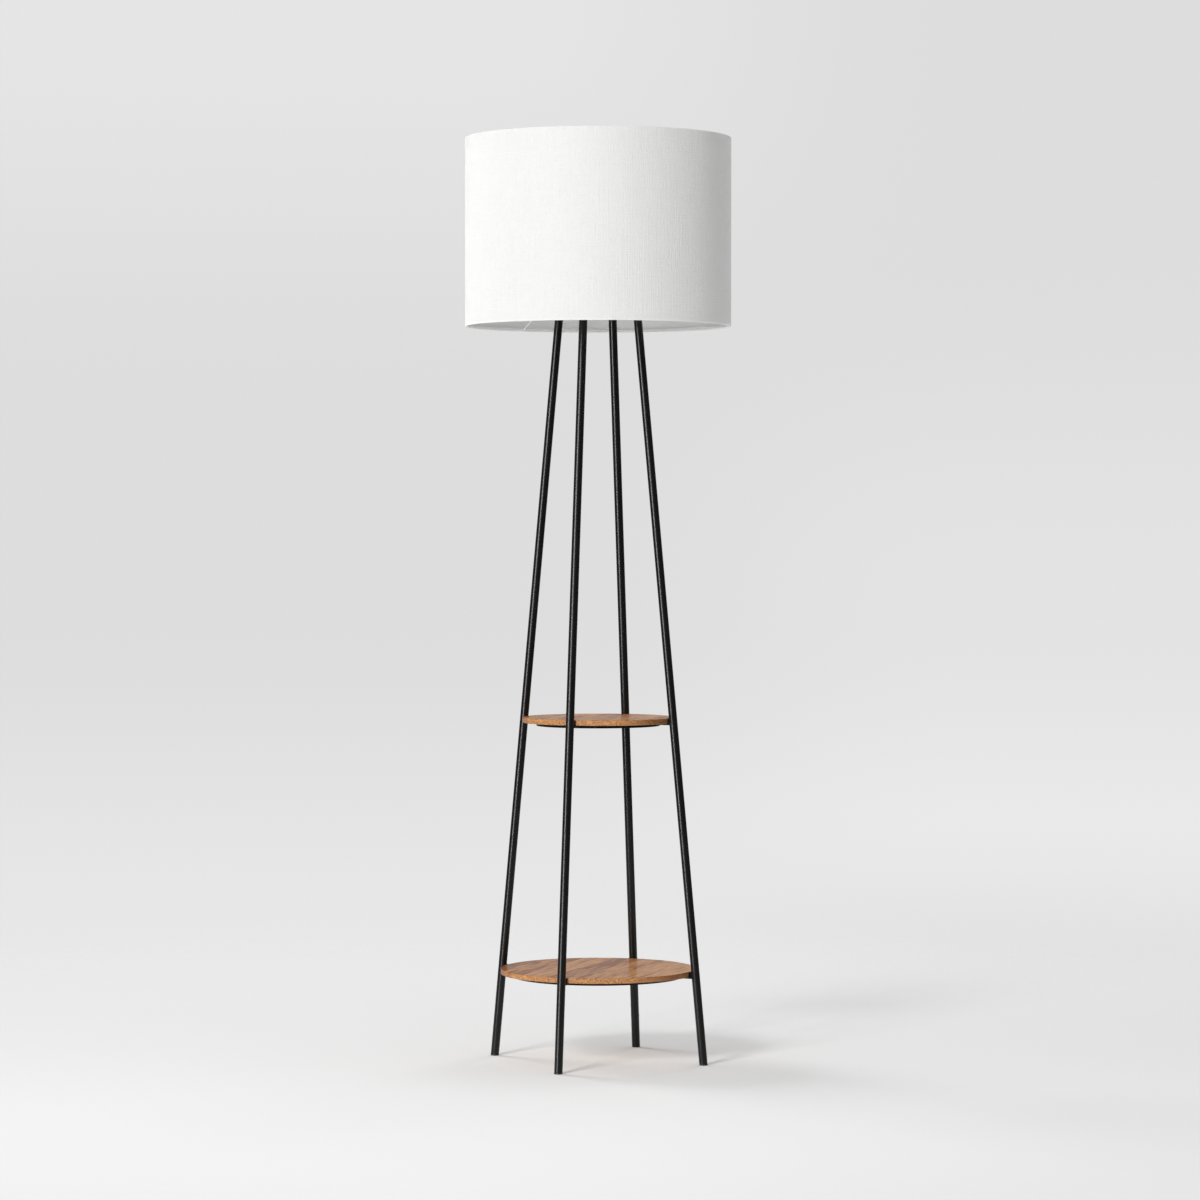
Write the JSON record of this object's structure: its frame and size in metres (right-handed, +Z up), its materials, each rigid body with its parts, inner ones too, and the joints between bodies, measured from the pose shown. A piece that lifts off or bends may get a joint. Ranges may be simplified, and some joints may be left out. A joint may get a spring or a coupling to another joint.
{
  "type": "shelf floor lamp",
  "caption": "Floor lamp with a white drum shade on four leaning black tube legs, which also carry two round wooden shelves.",
  "frame": {"origin": "centre of the four feet, on the floor", "axes": "+Z up; the four legs stand on the diagonals of X and Y; the switch knob points to -Y"},
  "size_m": [0.4317, 0.4318, 1.4986],
  "materials": {
    "black_powder_coat": "satin black powder coat",
    "black_zinc_screws": "black zinc",
    "zinc_steel": "bright zinc plate",
    "black_plastic": "matte",
    "shelf_wood": "satin lacquer over reddish brown veneer",
    "holder_plastic": "moulded, semi-gloss black",
    "contact_brass": "plain",
    "white_steel": "white enamel",
    "shade_lining": "white styrene film",
    "shade_cloth": "white linen weave",
    "bulb_glass": "frosted",
    "bulb_metal": "rolled thread",
    "bulb_black": "glass insulator"
  },
  "bodies": {
    "stand": {"leg_front_left": "black_powder_coat", "leg_front_right": "black_powder_coat", "leg_back_right": "black_powder_coat", "leg_back_left": "black_powder_coat", "top_plate": "black_powder_coat", "upper_shelf_ring": "black_powder_coat", "lower_shelf_ring": "black_powder_coat", "upper_shelf_brackets": "black_powder_coat", "lower_shelf_brackets": "black_powder_coat", "upper_shelf_frame_screws": "black_zinc_screws", "lower_shelf_frame_screws": "black_zinc_screws", "upper_shelf_wood_screws": "black_zinc_screws", "lower_shelf_wood_screws": "black_zinc_screws", "leg_top_inserts": "zinc_steel", "top_plate_screws": "zinc_steel", "threaded_nipple": "zinc_steel", "nipple_washer": "zinc_steel", "nipple_nut": "zinc_steel", "foot_glide_front_left": "black_plastic", "foot_glide_front_right": "black_plastic", "foot_glide_back_right": "black_plastic", "foot_glide_back_left": "black_plastic", "cord_exit_bush": "black_plastic", "cord_entry_bush": "black_plastic", "upper_shelf_board": "shelf_wood", "lower_shelf_board": "shelf_wood", "socket_cap": "holder_plastic", "socket_body": "holder_plastic", "socket_screw_shell": "contact_brass", "socket_centre_contact": "contact_brass", "shade_fitter_ring": "white_steel", "shade_fitter_arms": "white_steel", "shade_lower_wire": "white_steel", "shade_upper_wire": "white_steel", "shade_liner": "shade_lining", "shade_cover": "shade_cloth"},
    "switch": {"switch_knob": "holder_plastic", "switch_shaft": "zinc_steel", "switch_cam": "holder_plastic"},
    "clamp_ring": {"shade_clamp_ring": "holder_plastic"},
    "bulb": {"bulb_globe": "bulb_glass", "bulb_screw_base": "bulb_metal", "bulb_insulator": "bulb_black", "bulb_tip_contact": "contact_brass"}
  },
  "joints": [
    {"name": "switch_turn", "type": "hinge", "parent": "stand", "child": "switch", "pos_m": [0, -0.019, 1.285], "axis": [0, -1, 0], "continuous": true},
    {"name": "clamp_ring_turn", "type": "hinge", "parent": "stand", "child": "clamp_ring", "pos_m": [0, 0, 1.311], "axis": [0, 0, 1], "range_deg": [0, 1440]},
    {"name": "bulb_turn", "type": "hinge", "parent": "stand", "child": "bulb", "pos_m": [0, 0, 1.315], "axis": [0, 0, 1], "range_deg": [0, 1080]}
  ]
}
